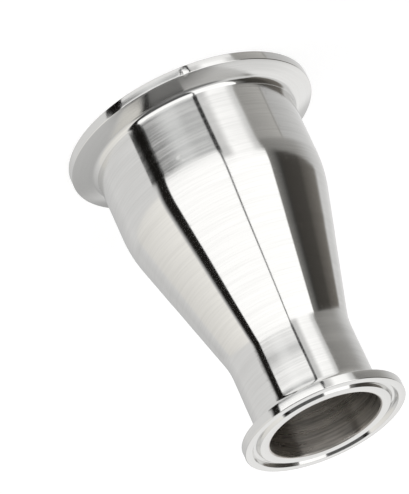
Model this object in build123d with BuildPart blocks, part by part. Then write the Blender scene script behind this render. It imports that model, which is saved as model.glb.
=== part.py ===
from build123d import *
import os
from math import atan2, radians, tan

# Sanitary concentric reducer with a clamp ferrule at each end, millimetres.
# The axis is +Z. The large ferrule's sealing face lies on Z = 0 and is what the
# fitting stands on, and the origin is the centre of that face.

# Tube and flange sizes of the two ends
large_tube_od = 63.5
large_flange_od = 77.5
small_tube_od = 38.1
small_flange_od = 50.5

# Formed shell: one gauge of metal from end to end
wall = 1.65
large_end_length = 30.4
cone_length = 47.8
small_end_length = 28.0
shoulder_radius = 42.0
throat_radius = 24.0

# Ferrule details, the same at both ends
rim_thickness = 2.85
clamp_angle = 20.0
neck_fillet = 2.0
rim_edge_break = 0.25
mouth_chamfer = 0.5
groove_inset = 3.5
groove_width = 2.4
groove_floor = 1.1
groove_depth = 1.2

# Radii and heights that follow from the sizes above
large_tube_r = large_tube_od / 2
large_rim_r = large_flange_od / 2
large_bore_r = large_tube_r - wall
small_tube_r = small_tube_od / 2
small_rim_r = small_flange_od / 2
small_bore_r = small_tube_r - wall
shoulder_z = large_end_length
throat_z = shoulder_z + cone_length
overall_length = throat_z + small_end_length


def bevel_rise(rim_r, tube_r):
    """Height that the clamp bevel gains from the rim in to the tube."""
    return (rim_r - tube_r) * tan(radians(clamp_angle))


def neck_round(rim_r, tube_r):
    """Fillet between bevel and tube, kept within the bevel's own width."""
    return min(neck_fillet, (rim_r - tube_r) * 0.8)


def face_rings(turned, face_z):
    """Round edges that lie on a sealing face, from the bore out to the rim."""
    circles = turned.edges().filter_by(GeomType.CIRCLE)
    return circles.filter_by_position(Axis.Z, face_z, face_z).sort_by(SortBy.RADIUS)


large_neck_z = rim_thickness + bevel_rise(large_rim_r, large_tube_r)
small_neck_z = overall_length - rim_thickness - bevel_rise(small_rim_r, small_tube_r)

# Inside corners of the cone sit lower than the outside ones, so that the wall
# keeps its thickness square to the metal all the way along.
cone_angle = atan2(large_tube_r - small_tube_r, cone_length)
corner_drop = wall * tan(cone_angle / 2)

# Half section as (radius, height, rounding of that corner): up the outside from
# the large mouth to the small one, and back down the inside. Corners that are
# only broken with a chamfer have no rounding here.
half_section = [
    (large_bore_r, 0, 0),
    (large_rim_r, 0, 0),
    (large_rim_r, rim_thickness, 0),
    (large_tube_r, large_neck_z, neck_round(large_rim_r, large_tube_r)),
    (large_tube_r, shoulder_z, shoulder_radius),
    (small_tube_r, throat_z, throat_radius),
    (small_tube_r, small_neck_z, neck_round(small_rim_r, small_tube_r)),
    (small_rim_r, overall_length - rim_thickness, 0),
    (small_rim_r, overall_length, 0),
    (small_bore_r, overall_length, 0),
    (small_bore_r, throat_z - corner_drop, throat_radius + wall),
    (large_bore_r, shoulder_z - corner_drop, shoulder_radius - wall),
]

with BuildPart() as reducer:
    # Shell and both flanges as one turned form
    with BuildSketch(Plane.XZ):
        with BuildLine():
            FilletPolyline(
                *[(r, z) for r, z, _ in half_section],
                radius=[corner for _, _, corner in half_section],
                close=True,
            )
        make_face()
    revolve(axis=Axis.Z)

    # Broken edges on each sealing face: the bore's mouth, then the rim
    for face_z in (0, overall_length):
        chamfer(face_rings(reducer, face_z)[0], length=mouth_chamfer)
        chamfer(face_rings(reducer, face_z)[-1], length=rim_edge_break)

    # Gasket groove in each sealing face, turned with a six-sided section that is
    # centred on the face, so that the same one serves both ends
    with BuildSketch(Plane.XZ):
        with Locations(
            (large_rim_r - groove_inset, 0),
            (small_rim_r - groove_inset, overall_length),
        ):
            Polygon(
                (groove_width / 2, 0),
                (groove_floor / 2, groove_depth),
                (-groove_floor / 2, groove_depth),
                (-groove_width / 2, 0),
                (-groove_floor / 2, -groove_depth),
                (groove_floor / 2, -groove_depth),
            )
    revolve(axis=Axis.Z, mode=Mode.SUBTRACT)

reducer.part.label = "reducer"

os.makedirs("parts", exist_ok=True)
export_step(reducer.part, "parts/reducer.step")
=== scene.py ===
import bpy
from bpy.props import FloatProperty, FloatVectorProperty, PointerProperty
from bpy.types import Operator, Panel, PropertyGroup
from math import atan2, ceil, cos, degrees, exp, pi, radians, sin, tan
from mathutils import Matrix, Vector, noise


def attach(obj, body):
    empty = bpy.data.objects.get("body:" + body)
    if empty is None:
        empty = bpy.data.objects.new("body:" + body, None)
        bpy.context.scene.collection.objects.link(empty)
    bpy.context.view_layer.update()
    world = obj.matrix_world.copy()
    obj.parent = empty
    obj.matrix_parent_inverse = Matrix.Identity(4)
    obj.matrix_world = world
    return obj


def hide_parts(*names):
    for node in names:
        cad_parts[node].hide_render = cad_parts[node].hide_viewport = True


bl_info = {
    "name": "Sanitary Ferrule Reducer",
    "version": (1, 0, 0),
    "blender": (4, 5, 0),
    "location": "3D View > Sidebar > Reducer",
    "description": "Concentric stainless reducer with a clamp ferrule at each end",
    "category": "Object",
}

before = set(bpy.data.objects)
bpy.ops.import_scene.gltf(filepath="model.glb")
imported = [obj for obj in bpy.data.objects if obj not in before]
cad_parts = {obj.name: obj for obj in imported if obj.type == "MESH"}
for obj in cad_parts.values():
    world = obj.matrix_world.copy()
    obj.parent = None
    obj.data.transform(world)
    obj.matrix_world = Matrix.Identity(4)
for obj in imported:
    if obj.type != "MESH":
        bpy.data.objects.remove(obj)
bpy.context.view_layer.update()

MM = 0.001
SEGMENTS = 272
DOME_RADIUS = 3.0
DOME_START, DOME_END = -172, 188
FLOOR_RADIUS = 2.5


class ReducerSizes(PropertyGroup):
    """Sizes of the fitting, the same as the solid's."""

    large_tube_r: FloatProperty(
        name="Large Tube Radius", description="Outside radius of the wide tube",
        default=31.75 * MM, unit="LENGTH",
    )
    large_rim_r: FloatProperty(
        name="Large Rim Radius", description="Outside radius of the wide end's flange",
        default=38.75 * MM, unit="LENGTH",
    )
    small_tube_r: FloatProperty(
        name="Small Tube Radius", description="Outside radius of the narrow tube",
        default=19.05 * MM, unit="LENGTH",
    )
    small_rim_r: FloatProperty(
        name="Small Rim Radius", description="Outside radius of the narrow end's flange",
        default=25.25 * MM, unit="LENGTH",
    )
    wall: FloatProperty(
        name="Wall", description="Gauge of the metal",
        default=1.65 * MM, unit="LENGTH",
    )
    large_end: FloatProperty(
        name="Large End", description="Wide sealing face to the cone's lower corner",
        default=30.4 * MM, unit="LENGTH",
    )
    cone: FloatProperty(
        name="Cone", description="Height between the cone's two corners",
        default=47.8 * MM, unit="LENGTH",
    )
    small_end: FloatProperty(
        name="Small End", description="Cone's upper corner to the narrow sealing face",
        default=28.0 * MM, unit="LENGTH",
    )
    shoulder_r: FloatProperty(
        name="Shoulder Radius", description="Bend from the wide tube into the cone",
        default=42.0 * MM, unit="LENGTH",
    )
    throat_r: FloatProperty(
        name="Throat Radius", description="Bend from the cone into the narrow tube",
        default=24.0 * MM, unit="LENGTH",
    )
    rim: FloatProperty(
        name="Rim Thickness", description="Straight edge of each flange",
        default=2.85 * MM, unit="LENGTH",
    )
    bevel: FloatProperty(
        name="Clamp Bevel", description="Slope of the flange backs",
        default=radians(20), subtype="ANGLE",
    )
    neck_r: FloatProperty(
        name="Neck Fillet", description="Fillet between bevel and tube",
        default=2.0 * MM, unit="LENGTH",
    )
    groove_inset: FloatProperty(
        name="Groove Inset", description="Rim to the middle of the gasket groove",
        default=3.5 * MM, unit="LENGTH",
    )
    groove_width: FloatProperty(
        name="Groove Width", description="Width of the gasket groove at the face",
        default=2.4 * MM, unit="LENGTH",
    )
    groove_floor: FloatProperty(
        name="Groove Floor", description="Width of the gasket groove at its floor",
        default=1.1 * MM, unit="LENGTH",
    )
    groove_depth: FloatProperty(
        name="Groove Depth", description="Depth of the gasket groove",
        default=1.2 * MM, unit="LENGTH",
    )


class SteelFinish(PropertyGroup):
    """Colours and wear of the metal."""

    colour: FloatVectorProperty(
        name="Steel", description="Colour of the polished metal",
        default=(0.75, 0.745, 0.73), subtype="COLOR", size=3, min=0, max=1,
    )
    bore_colour: FloatVectorProperty(
        name="Bore", description="Colour of the duller metal inside",
        default=(0.76, 0.72, 0.67), subtype="COLOR", size=3, min=0, max=1,
    )
    ripple: FloatProperty(
        name="Ripple", description="How far the formed cone wanders from true",
        default=0.035 * MM, unit="LENGTH",
    )
    weld_step: FloatProperty(
        name="Weld Step", description="Change of radius at the polished weld lines",
        default=0.06 * MM, unit="LENGTH",
    )
    nick_depth: FloatProperty(
        name="Nick Depth", description="Depth of the small nick in the wide rim",
        default=0.30 * MM, unit="LENGTH",
    )
    nick_angle: FloatProperty(
        name="Nick Angle", description="Place of the nick around the wide rim",
        default=radians(-7.8), subtype="ANGLE",
    )


class StudioSetup(PropertyGroup):
    """Camera and light of the stage."""

    lens: FloatProperty(
        name="Lens", description="Focal length in millimetres for a 36 mm sensor",
        default=318.0,
    )
    distance: FloatProperty(
        name="Camera Distance", description="Camera to the point that it looks at",
        default=1.2936, unit="LENGTH",
    )
    elevation: FloatProperty(
        name="Camera Elevation", description="Camera above the horizon",
        default=radians(25.1), subtype="ANGLE",
    )
    azimuth: FloatProperty(
        name="Camera Azimuth", description="Camera round the axis from the front",
        default=radians(-0.516), subtype="ANGLE",
    )
    roll: FloatProperty(
        name="Camera Roll", description="Turn of the camera about its own view",
        default=radians(155.52), subtype="ANGLE",
    )
    softbox: FloatProperty(
        name="Softbox", description="Strength of the bright front light",
        default=1.42, min=0,
    )


def smooth(value):
    """0 below 0, 1 above 1, with a smooth rise between."""
    value = min(1.0, max(0.0, value))
    return value * value * (3 - 2 * value)


def fillet_points(before, corner, after, radius, step):
    """Points of the arc of that radius that rounds a corner, end points included."""
    back, on = (before - corner).normalized(), (after - corner).normalized()
    opening = back.angle(on)
    reach = radius / tan(opening / 2)
    centre = corner + (back + on).normalized() * (radius / sin(opening / 2))
    start, turn = corner + back * reach - centre, pi - opening
    sign = 1 if back.cross(on) < 0 else -1
    count = max(2, ceil(turn / step))
    return [
        centre + Matrix.Rotation(sign * turn * i / count, 2) @ start
        for i in range(count + 1)
    ]


def arc_step(radius):
    """Turn between an arc's points: fine on the wide bends, coarser on small rounds."""
    if radius > 60 * MM:
        return radians(0.5)
    return radians(1.0 if radius > 10 * MM else 9.0)


def half_section(sizes):
    """Closed outline as (radius, height, zone), from the wide bore round the outside."""
    length = sizes.large_end + sizes.cone + sizes.small_end
    throat = sizes.large_end + sizes.cone
    drop = sizes.wall * tan(atan2(sizes.large_tube_r - sizes.small_tube_r, sizes.cone) / 2)
    rise_large = (sizes.large_rim_r - sizes.large_tube_r) * tan(sizes.bevel)
    rise_small = (sizes.small_rim_r - sizes.small_tube_r) * tan(sizes.bevel)
    large_bore = sizes.large_tube_r - sizes.wall
    small_bore = sizes.small_tube_r - sizes.wall
    large_groove = sizes.large_rim_r - sizes.groove_inset
    small_groove = sizes.small_rim_r - sizes.groove_inset
    lip, floor, depth = sizes.groove_width / 2, sizes.groove_floor / 2, sizes.groove_depth
    mouth_round, rim_round, lip_round, well_round = 0.5 * MM, 0.25 * MM, 0.12 * MM, 0.45 * MM
    crown, large_crown_round, small_crown_round = 0.09 * MM, 85 * MM, 65 * MM
    corners = [
        (large_bore, 0, mouth_round, "flange"),
        (large_groove - lip, 0, lip_round, "flange"),
        (large_groove - floor, depth, well_round, "flange"),
        (large_groove + floor, depth, well_round, "flange"),
        (large_groove + lip, 0, lip_round, "flange"),
        (sizes.large_rim_r, 0, rim_round, "flange"),
        (sizes.large_rim_r, sizes.rim, rim_round, "flange"),
        ((sizes.large_rim_r + sizes.large_tube_r) / 2, sizes.rim + rise_large / 2 + crown,
         large_crown_round, "flange"),
        (sizes.large_tube_r, sizes.rim + rise_large, sizes.neck_r, "body"),
        (sizes.large_tube_r, sizes.large_end, sizes.shoulder_r, "body"),
        (sizes.small_tube_r, throat, sizes.throat_r, "body"),
        (sizes.small_tube_r, length - sizes.rim - rise_small, sizes.neck_r, "flange"),
        ((sizes.small_rim_r + sizes.small_tube_r) / 2,
         length - sizes.rim - rise_small / 2 - crown, small_crown_round, "flange"),
        (sizes.small_rim_r, length - sizes.rim, rim_round, "flange"),
        (sizes.small_rim_r, length, rim_round, "flange"),
        (small_groove + lip, length, lip_round, "flange"),
        (small_groove + floor, length - depth, well_round, "flange"),
        (small_groove - floor, length - depth, well_round, "flange"),
        (small_groove - lip, length, lip_round, "flange"),
        (small_bore, length, mouth_round, "bore"),
        (small_bore, throat - drop, sizes.throat_r + sizes.wall, "bore"),
        (large_bore, sizes.large_end - drop, sizes.shoulder_r - sizes.wall, "bore"),
    ]
    points = [Vector((r, z)) for r, z, _, _ in corners]
    outline = []
    for i, (_, _, radius, zone) in enumerate(corners):
        before, after = points[i - 1], points[(i + 1) % len(points)]
        arc = fillet_points(before, points[i], after, radius, arc_step(radius))
        if outline:
            outline += straight_run(outline[-1], arc[0])
        outline += [(p.x, p.y, zone) for p in arc]
    return outline + straight_run(outline[-1], Vector(outline[0][:2]))


def straight_run(start, end, spacing=1.6 * MM):
    """Points between two ends of a straight run, close enough to carry the ripple."""
    first = Vector(start[:2])
    count = int((end - first).length / spacing)
    return [(*first.lerp(end, (i + 1) / (count + 1)), start[2]) for i in range(count)]


def formed_offset(angle, z, sizes, finish):
    """Ripple of the formed cone and its small steps at the two polished welds."""
    throat = sizes.large_end + sizes.cone
    low, high = sizes.large_end * 0.6, throat + sizes.small_end * 0.2
    middle, spread = (low + high) / 2, (high - low) / 2
    fade = max(0.0, 1 - ((z - middle) / spread) ** 4)
    waves, pitch, start = 1.6, 26 * MM, Vector((3.1, 7.7, 1.3))
    spot = Vector((cos(angle) * waves, sin(angle) * waves, z / pitch))
    ripple = finish.ripple * fade * noise.noise(spot + start)
    mid_cone = sizes.large_end + 20 * MM
    if z > mid_cone:
        upper_weld, blend = throat + 7.6 * MM, 4.5 * MM
        return ripple + finish.weld_step * (smooth((z - upper_weld) / blend) - 1)
    lower_weld, blend = sizes.large_end - 6.5 * MM, 5 * MM
    return ripple + 0.5 * finish.weld_step * (smooth((z - lower_weld) / blend) - 1)


def nick_offset(angle, r, z, sizes, finish):
    """Small nick at the back edge of the wide rim."""
    length, width = 0.55 * MM, 0.8 * MM
    along = (angle - finish.nick_angle + pi / 2) * sizes.large_rim_r
    across = Vector((r - sizes.large_rim_r, z - sizes.rim)).length
    cut = exp(-((along / length) ** 2 + (across / width) ** 2))
    return -finish.nick_depth * cut


def lathe_mesh(name, outline, sizes, finish, segments=SEGMENTS):
    """Turned mesh of the outline, with the formed ripple and the nick in its points."""
    rows = len(outline)
    points, faces, zones = [], [], []
    for r, z, zone in outline:
        for k in range(segments):
            angle = 2 * pi * k / segments
            signed = (angle + pi) % (2 * pi) - pi
            grow = nick_offset(signed, r, z, sizes, finish)
            if zone in ("body", "bore"):
                grow += formed_offset(angle, z, sizes, finish)
            points.append(((r + grow) * cos(angle), (r + grow) * sin(angle), z))
    for j in range(rows):
        for k in range(segments):
            here, there = j * segments, ((j + 1) % rows) * segments
            turn = (k + 1) % segments
            faces.append((here + k, here + turn, there + turn, there + k))
            zones.append(outline[j][2])
    mesh = bpy.data.meshes.new(name)
    mesh.from_pydata(points, [], faces)
    mesh.polygons.foreach_set("use_smooth", [True] * len(faces))
    return mesh, zones


def new_group(name, inputs, outputs):
    """Empty shader node group with named sockets, and its input and output nodes."""
    tree = bpy.data.node_groups.new(name, "ShaderNodeTree")
    for label, kind, value in inputs:
        socket = tree.interface.new_socket(label, in_out="INPUT", socket_type=kind)
        socket.default_value = value
    for label, kind in outputs:
        tree.interface.new_socket(label, in_out="OUTPUT", socket_type=kind)
    return tree, tree.nodes.new("NodeGroupInput"), tree.nodes.new("NodeGroupOutput")


def math_node(tree, operation, first, second=0.0, third=None, clamp=False):
    """Math node whose inputs are sockets or plain numbers; gives its output."""
    node = tree.nodes.new("ShaderNodeMath")
    node.operation, node.use_clamp = operation, clamp
    for slot, value in enumerate((first, second, third)):
        if isinstance(value, bpy.types.NodeSocket):
            tree.links.new(value, node.inputs[slot])
        elif value is not None:
            node.inputs[slot].default_value = value
    return node.outputs[0]


def shown_rays(tree):
    """1 for the rays that show the white background: camera, mirror and glass rays."""
    path = tree.nodes.new("ShaderNodeLightPath")
    mirrored = math_node(tree, "ADD", path.outputs["Is Camera Ray"],
                         path.outputs["Is Glossy Ray"])
    return math_node(tree, "ADD", mirrored, path.outputs["Is Transmission Ray"], clamp=True)


def turned_coordinates(tree, around, along):
    """Object coordinates stretched so that noise runs in long streaks round the axis."""
    coords = tree.nodes.new("ShaderNodeTexCoord")
    split = tree.nodes.new("ShaderNodeSeparateXYZ")
    tree.links.new(coords.outputs["Object"], split.inputs[0])
    square = math_node(tree, "MULTIPLY", split.outputs[0], split.outputs[0])
    radius = math_node(tree, "SQRT", math_node(
        tree, "MULTIPLY_ADD", split.outputs[1], split.outputs[1], square))
    # The radius counts too, so that flat faces have rings and not one even tone.
    rings = math_node(tree, "MULTIPLY", radius, 0.8)
    depth = math_node(tree, "SUBTRACT", split.outputs[2], rings)
    join = tree.nodes.new("ShaderNodeCombineXYZ")
    tree.links.new(math_node(tree, "MULTIPLY", split.outputs[0], around), join.inputs[0])
    tree.links.new(math_node(tree, "MULTIPLY", split.outputs[1], around), join.inputs[1])
    tree.links.new(math_node(tree, "MULTIPLY", depth, along), join.inputs[2])
    return join.outputs[0]


def noise_value(tree, vector, scale, detail, roughness=0.5):
    """Noise texture's value at a vector."""
    node = tree.nodes.new("ShaderNodeTexNoise")
    node.inputs["Scale"].default_value = scale
    node.inputs["Detail"].default_value = detail
    node.inputs["Roughness"].default_value = roughness
    tree.links.new(vector, node.inputs["Vector"])
    return node.outputs["Fac"]


def remap(tree, value, low, high, to_low=0.0, to_high=1.0):
    """Value from one range to another, clamped."""
    node = tree.nodes.new("ShaderNodeMapRange")
    tree.links.new(value, node.inputs["Value"])
    for label, number in (("From Min", low), ("From Max", high),
                          ("To Min", to_low), ("To Max", to_high)):
        node.inputs[label].default_value = number
    return node.outputs["Result"]


def build_brushing_group():
    """Fine lines round the axis: their height, the deeper streaks and cloudy patches."""
    tree, given, result = new_group(
        "Turned Brushing",
        [("Streak Length", "NodeSocketFloat", 90.0), ("Line Pitch", "NodeSocketFloat", 3200.0)],
        [("Height", "NodeSocketFloat"), ("Streaks", "NodeSocketFloat"),
         ("Clouds", "NodeSocketFloat")],
    )
    fine = noise_value(tree, turned_coordinates(
        tree, given.outputs["Streak Length"], given.outputs["Line Pitch"]), 1.0, 2.0)
    slower = math_node(tree, "MULTIPLY", given.outputs["Line Pitch"], 0.45)
    longer = math_node(tree, "MULTIPLY", given.outputs["Streak Length"], 0.7)
    broad = noise_value(tree, turned_coordinates(tree, longer, slower), 1.0, 3.0)
    cloud = noise_value(tree, turned_coordinates(tree, 34.0, 520.0), 1.0, 4.0, 0.65)
    height = math_node(tree, "MULTIPLY_ADD", broad, 0.4, fine)
    tree.links.new(height, result.inputs["Height"])
    tree.links.new(remap(tree, broad, 0.42, 0.62), result.inputs["Streaks"])
    tree.links.new(remap(tree, cloud, 0.38, 0.64), result.inputs["Clouds"])
    return tree


def build_handling_group():
    """Faint smudges and hairline marks of a fitting that has been handled."""
    tree, given, result = new_group(
        "Handling Marks", [("Hairline Pitch", "NodeSocketFloat", 1.0)],
        [("Smudge", "NodeSocketFloat"), ("Hairlines", "NodeSocketFloat")],
    )
    coords = tree.nodes.new("ShaderNodeTexCoord")
    smudge = noise_value(tree, coords.outputs["Object"], 55.0, 3.0, 0.6)
    tree.links.new(remap(tree, smudge, 0.35, 0.7), result.inputs["Smudge"])
    turn = tree.nodes.new("ShaderNodeMapping")
    turn.inputs["Rotation"].default_value = (radians(17), radians(11), radians(23))
    turn.inputs["Scale"].default_value = (40.0, 900.0, 260.0)
    tree.links.new(coords.outputs["Object"], turn.inputs["Vector"])
    hair = noise_value(tree, turn.outputs["Vector"], 1.0, 1.0)
    tree.links.new(given.outputs["Hairline Pitch"], hair.node.inputs["Scale"])
    tree.links.new(remap(tree, hair, 0.70, 0.76), result.inputs["Hairlines"])
    return tree


def place_group(tree, group, **values):
    """Group node in a material, with its own values."""
    node = tree.nodes.new("ShaderNodeGroup")
    node.node_tree = group
    for label, value in values.items():
        node.inputs[label.replace("_", " ")].default_value = value
    return node


def bore_shade_mask(tree, low, high, reach):
    """Mask of the painted shade deep in the bore: 0 at both mouths, rising to 1 at that reach
    inside them.
    """
    coords = tree.nodes.new("ShaderNodeTexCoord")
    split = tree.nodes.new("ShaderNodeSeparateXYZ")
    tree.links.new(coords.outputs["Object"], split.inputs[0])
    nearest = math_node(tree, "MINIMUM", math_node(tree, "SUBTRACT", split.outputs[2], low),
                        math_node(tree, "SUBTRACT", high, split.outputs[2]))
    return remap(tree, nearest, 2 * MM, reach)


def steel_material(name, groups, *, colour, worked_and_shade_tone, roughness, streak_length,
                   line_pitch, line_depth, anisotropy, shade_span=None):
    """Polished steel with brushing round the axis, tone and gloss varied by streaks; where the
    bore's mouths are given, its colour also darkens deep inside as painted shade.
    """
    material = bpy.data.materials.new(name)
    material.use_nodes = True
    tree = material.node_tree
    shader = tree.nodes["Principled BSDF"]
    shader.inputs["Metallic"].default_value = 1.0
    shader.inputs["Anisotropic"].default_value = anisotropy
    shader.inputs["Anisotropic Rotation"].default_value = 0.25
    tangent = tree.nodes.new("ShaderNodeTangent")
    tangent.direction_type, tangent.axis = "RADIAL", "Z"
    tree.links.new(tangent.outputs["Tangent"], shader.inputs["Tangent"])

    brushing = place_group(tree, groups["brushing"],
                           Streak_Length=streak_length, Line_Pitch=line_pitch)
    marks = place_group(tree, groups["handling"])
    tone = tree.nodes.new("ShaderNodeMix")
    tone.data_type = "RGBA"
    tone.inputs["A"].default_value = (*colour, 1)
    tone.inputs["B"].default_value = (*(c * worked_and_shade_tone for c in colour), 1)
    streak_share, cloud_share = 0.45, 0.55
    streaks = math_node(tree, "MULTIPLY", brushing.outputs["Streaks"], streak_share)
    clouds = math_node(tree, "MULTIPLY", brushing.outputs["Clouds"], cloud_share)
    worked_and_shade = math_node(tree, "ADD", streaks, clouds)
    # Painted shade: deep inside the bore the colour darkens towards the darker tone.
    if shade_span:
        worked_and_shade = math_node(tree, "MAXIMUM", worked_and_shade, bore_shade_mask(tree, *shade_span), clamp=True)
    tree.links.new(worked_and_shade, tone.inputs["Factor"])
    tree.links.new(tone.outputs["Result"], shader.inputs["Base Color"])

    gloss = remap(tree, brushing.outputs["Streaks"], 0.0, 1.0, *roughness)
    smudge_blur, hairline_blur = 0.022, 0.05
    smudged = math_node(tree, "MULTIPLY_ADD", marks.outputs["Smudge"], smudge_blur, gloss)
    scuffed = math_node(tree, "MULTIPLY_ADD", marks.outputs["Hairlines"], hairline_blur, smudged)
    tree.links.new(scuffed, shader.inputs["Roughness"])

    bump = tree.nodes.new("ShaderNodeBump")
    bump.inputs["Strength"].default_value = 1.0
    bump.inputs["Distance"].default_value = line_depth
    tree.links.new(brushing.outputs["Height"], bump.inputs["Height"])
    tree.links.new(bump.outputs["Normal"], shader.inputs["Normal"])
    return material


class REDUCER_OT_fitting(Operator):
    """Make the reducer in brushed stainless steel."""

    bl_idname = "reducer.fitting"
    bl_label = "Reducer Fitting"

    def execute(self, context):
        scene = context.scene
        sizes, finish = scene.reducer_sizes, scene.reducer_finish
        groups = {"brushing": build_brushing_group(), "handling": build_handling_group()}
        mesh, zones = lathe_mesh("reducer_fitting", half_section(sizes), sizes, finish)
        looks = {
            "body": steel_material(
                "Brushed Body", groups, colour=finish.colour, worked_and_shade_tone=0.92,
                roughness=(0.075, 0.11), streak_length=60.0, line_pitch=3600.0,
                line_depth=0.001 * MM, anisotropy=0.88),
            "flange": steel_material(
                "Turned Flange", groups, colour=finish.colour, worked_and_shade_tone=0.96,
                roughness=(0.08, 0.12), streak_length=40.0, line_pitch=4200.0,
                line_depth=0.0006 * MM, anisotropy=0.75),
            # Deep inside, the bore's colour darkens to 0.36 of itself as painted shade; its
            # streaks use the same darker tone.
            "bore": steel_material(
                "Drawn Bore", groups, colour=finish.bore_colour, worked_and_shade_tone=0.36,
                roughness=(0.26, 0.33), streak_length=80.0, line_pitch=2600.0,
                line_depth=0.003 * MM, anisotropy=0.92,
                shade_span=(0.0, sizes.large_end + sizes.cone + sizes.small_end, 30 * MM)),
        }
        order = list(looks)
        for look in looks.values():
            mesh.materials.append(look)
        mesh.polygons.foreach_set("material_index", [order.index(zone) for zone in zones])
        fitting = bpy.data.objects.new("reducer_fitting", mesh)
        scene.collection.objects.link(fitting)
        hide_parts("reducer")
        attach(fitting, "root")
        return {"FINISHED"}


def direction(azimuth, elevation=0.0):
    """Unit vector; azimuth 0 faces the camera's side, positive towards +X."""
    a, e = radians(azimuth), radians(elevation)
    return Vector((sin(a) * cos(e), -cos(a) * cos(e), sin(e)))


class Board:
    """Lamp, flag or wall of the studio: where it stands, its glow and its edges."""

    def __init__(self, azimuths, elevations, glow, edge=1.0, tint=(1, 1, 1), rise=1.0):
        self.azimuths, self.elevations = azimuths, elevations
        self.glow = glow if isinstance(glow, tuple) else (glow, glow)
        self.edge, self.rise = edge if isinstance(edge, tuple) else (edge, edge), rise
        self.tint = Vector(tint)

    def cover(self, azimuth, elevation):
        """1 inside the board, 0 outside, with its soft edges between."""
        left, right = self.azimuths
        low, high = self.elevations
        return (smooth((azimuth - left) / self.edge[0] + 0.5)
                * smooth((right - azimuth) / self.edge[1] + 0.5)
                * smooth((elevation - low) / self.rise + 0.5)
                * smooth((high - elevation) / self.rise + 0.5))

    def light(self, azimuth):
        """Colour times glow, which may run from one side of the board to the other."""
        left, right = self.azimuths
        share = min(1.0, max(0.0, (azimuth - left) / (right - left)))
        return self.tint * (self.glow[0] + (self.glow[1] - self.glow[0]) * share)


def studio_boards(softbox):
    """Boards from the back to the front of the studio, the table's glow first."""
    horizon = -13.6
    warm, cool, brown = (1, 0.985, 0.95), (0.97, 0.99, 1.0), (1, 0.93, 0.84)
    below, above = (-90, horizon), (horizon, 90)
    return [
        # The white table, with the lamps mirrored in it.
        Board((-172, -97), below, (0.84, 0.56), 6),
        Board((-100, -62), below, (0.56, 0.40), 6, warm),
        Board((-120, -62), (-23.4, horizon), (0.42, 0.25), (36, 6), warm, 1.6),
        Board((-99.2, -97.4), (-29, -24.6), 0.34, 0.8, warm),
        Board((-63, -17), below, (0.75, 0.72), (6, 1.0)),
        Board((-56, -31), below, (1.25, 1.35), 10),
        Board((-18, 47), below, (0.42, 0.46), 1.0, cool),
        Board((5, 22), below, 0.62, 12, cool),
        Board((29, 47), (-90, -23.6), (0.16, 0.05), (14, 1.0), cool, 1.6),
        Board((-63, 47), (-90, -27.4), 1.05, 1.5),
        Board((-18, 47), (-22.9, horizon), (1.34, 1.28), 1.5, rise=1.2),
        Board((61, 130), below, (0.84, 0.80), 1.5),
        Board((126, 188), below, (0.78, 0.46), (10, 1)),
        # The walls, the ceiling and the softboxes above it.
        Board((61, 122), above, (1.06, 0.84), 2.0, warm),
        Board((118, 188), above, (0.80, 0.30), 8.0),
        Board((-172, -126), above, (0.66, 0.80), 2.0),
        Board((166, 188), (8, 90), 1.0, 12, rise=8),
        Board((-172, -148), (8, 90), 1.02, 12, rise=8),
        Board((-150, 188), (66, 90), 0.25, (16, 0.1), rise=8),
        Board((150, 188), (59, 90), 0.07, (14, 0.1), brown, 9),
        Board((-131, -100), (horizon, 50), (0.22, 0.09), (9, 4), brown),
        Board((-104, -66), (horizon, 50), (0.075, 0.045), (8, 2), brown),
        Board((-78, -64), (horizon, 50), (0.06, 0.30), (10, 1), warm),
        Board((-65.2, 47), (horizon, 46), (softbox, softbox * 0.95), 1.2),
        Board((-18, 47), (27, 66), 0.12, 2, rise=6),
        # The gap between the softboxes and the flag on their right.
        Board((-21.4, -16.8), (-90, -20), 0.04, 1.6, rise=3),
        Board((-19.5, -17.8), (-20, 60), 0.10, 0.8, rise=3),
        Board((45.6, 64.4), (-90, -23.8), 0.008, (1.0, 1.5), brown),
        Board((46.5, 58.8), (-25.2, 90), 0.014, (1.0, 6.0), brown),
    ]


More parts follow.
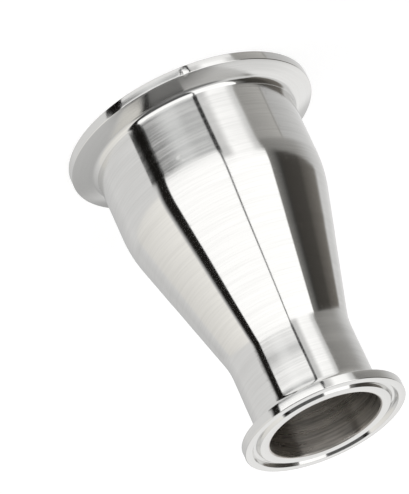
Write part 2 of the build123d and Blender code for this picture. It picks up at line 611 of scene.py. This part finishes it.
class REDUCER_OT_stage(Operator):
    """Set the white floor, the soft studio light and the camera."""

    bl_idname = "reducer.stage"
    bl_label = "Studio Stage"

    def execute(self, context):
        scene = context.scene
        studio = scene.reducer_studio
        self.world(scene)
        self.floor(scene)
        self.dome(scene, studio)
        self.camera(scene, studio)
        scene.view_settings.view_transform = "Standard"
        return {"FINISHED"}

    def world(self, scene):
        """White to the camera and in mirrors, light grey as light."""
        world = bpy.data.worlds.new("Studio")
        world.use_nodes = True
        tree = world.node_tree
        tree.nodes.clear()
        colour = tree.nodes.new("ShaderNodeMix")
        colour.data_type = "RGBA"
        colour.inputs["A"].default_value = (0.86, 0.86, 0.85, 1)
        colour.inputs["B"].default_value = (1, 1, 1, 1)
        background = tree.nodes.new("ShaderNodeBackground")
        output = tree.nodes.new("ShaderNodeOutputWorld")
        tree.links.new(shown_rays(tree), colour.inputs["Factor"])
        tree.links.new(colour.outputs["Result"], background.inputs["Color"])
        tree.links.new(background.outputs[0], output.inputs["Surface"])
        scene.world = world

    def floor(self, scene):
        """Wide pale floor that keeps the fitting's soft shadow."""
        material = bpy.data.materials.new("Pale Floor")
        material.use_nodes = True
        tree = material.node_tree
        diffuse = tree.nodes["Principled BSDF"]
        diffuse.inputs["Base Color"].default_value = (0.62, 0.62, 0.62, 1)
        diffuse.inputs["Roughness"].default_value = 0.9
        diffuse.inputs["Specular IOR Level"].default_value = 0.1
        # This glow lifts the lit floor to white, outside the fitting's shadow.
        lift = 0.67
        white = tree.nodes.new("ShaderNodeEmission")
        tree.links.new(math_node(tree, "MULTIPLY", shown_rays(tree), lift),
                       white.inputs["Strength"])
        both = tree.nodes.new("ShaderNodeAddShader")
        tree.links.new(diffuse.outputs[0], both.inputs[0])
        tree.links.new(white.outputs[0], both.inputs[1])
        tree.links.new(both.outputs[0], tree.nodes["Material Output"].inputs["Surface"])
        sides = 96
        mesh = bpy.data.meshes.new("floor")
        mesh.from_pydata([direction(360 * k / sides) * FLOOR_RADIUS for k in range(sides)], [],
                         [tuple(range(sides))])
        mesh.materials.append(material)
        ground = bpy.data.objects.new("floor", mesh)
        ground.visible_glossy = False
        scene.collection.objects.link(ground)

    def dome(self, scene, studio):
        """Dome that carries the light of the boards, hidden from the camera."""
        boards = studio_boards(studio.softbox)
        # Every few degrees, and closer where a board's edge is sharp.
        rows = sorted({*range(-90, 91, 3), *(e / 2 for e in range(-58, -20))})
        fine = (*range(-260, -240), *range(-164, -128, 2), *range(-84, -60), *range(176, 264))
        columns = sorted({*range(DOME_START, DOME_END, 2), *(a / 4 for a in fine)})
        room = Vector((0.8, 0.8, 0.8))
        points, faces, lights = [], [], []
        for elevation in rows:
            for azimuth in columns:
                points.append(direction(azimuth, elevation) * DOME_RADIUS)
                light = room
                for board in boards:
                    light = light.lerp(board.light(azimuth), board.cover(azimuth, elevation))
                lights += [*light, 1.0]
        count = len(columns)
        for j in range(len(rows) - 1):
            for i in range(count):
                here, turn = j * count, (i + 1) % count
                faces.append((here + i, here + turn, here + count + turn, here + count + i))
        mesh = bpy.data.meshes.new("studio_dome")
        mesh.from_pydata(points, [], faces)
        mesh.color_attributes.new("Light", "FLOAT_COLOR", "POINT").data.foreach_set(
            "color", lights)
        material = bpy.data.materials.new("Studio Light")
        material.use_nodes = True
        tree = material.node_tree
        tree.nodes.clear()
        light = tree.nodes.new("ShaderNodeAttribute")
        light.attribute_name = "Light"
        glow = tree.nodes.new("ShaderNodeEmission")
        output = tree.nodes.new("ShaderNodeOutputMaterial")
        tree.links.new(light.outputs["Color"], glow.inputs["Color"])
        tree.links.new(glow.outputs[0], output.inputs["Surface"])
        material.cycles.emission_sampling = "NONE"
        mesh.materials.append(material)
        dome = bpy.data.objects.new("studio_dome", mesh)
        dome.visible_camera = False
        dome.visible_shadow = False
        scene.collection.objects.link(dome)

    def camera(self, scene, studio):
        """Long lens, rolled so that the fitting hangs as in the photo."""
        data = bpy.data.cameras.new("camera")
        data.lens, data.sensor_width = studio.lens, 36.0
        camera = bpy.data.objects.new("camera", data)
        target = Vector((10.57 * MM, -0.1 * MM, 38.17 * MM))
        back = direction(degrees(studio.azimuth), degrees(studio.elevation))
        camera.rotation_mode = "QUATERNION"
        camera.location = target + back * studio.distance
        upright = (-back).to_track_quat("-Z", "Y")
        camera.rotation_quaternion = upright @ Matrix.Rotation(studio.roll, 3, "Z").to_quaternion()
        data.clip_start, data.clip_end = 0.05, 20
        scene.collection.objects.link(camera)
        scene.camera = camera


class REDUCER_PT_sidebar(Panel):
    """Steps of the reducer in the sidebar."""

    bl_idname = "REDUCER_PT_sidebar"
    bl_label = "Reducer"
    bl_space_type = "VIEW_3D"
    bl_region_type = "UI"
    bl_category = "Reducer"

    def draw(self, context):
        layout = self.layout
        layout.operator("reducer.fitting")
        layout.operator("reducer.stage")


CLASSES = (
    ReducerSizes, SteelFinish, StudioSetup,
    REDUCER_OT_fitting, REDUCER_OT_stage, REDUCER_PT_sidebar,
)


def register():
    for made in CLASSES:
        bpy.utils.register_class(made)
    bpy.types.Scene.reducer_sizes = PointerProperty(type=ReducerSizes)
    bpy.types.Scene.reducer_finish = PointerProperty(type=SteelFinish)
    bpy.types.Scene.reducer_studio = PointerProperty(type=StudioSetup)


def unregister():
    del bpy.types.Scene.reducer_studio
    del bpy.types.Scene.reducer_finish
    del bpy.types.Scene.reducer_sizes
    for made in reversed(CLASSES):
        bpy.utils.unregister_class(made)


def main():
    register()
    bpy.ops.reducer.fitting()
    bpy.ops.reducer.stage()


if __name__ == "__main__":
    main()
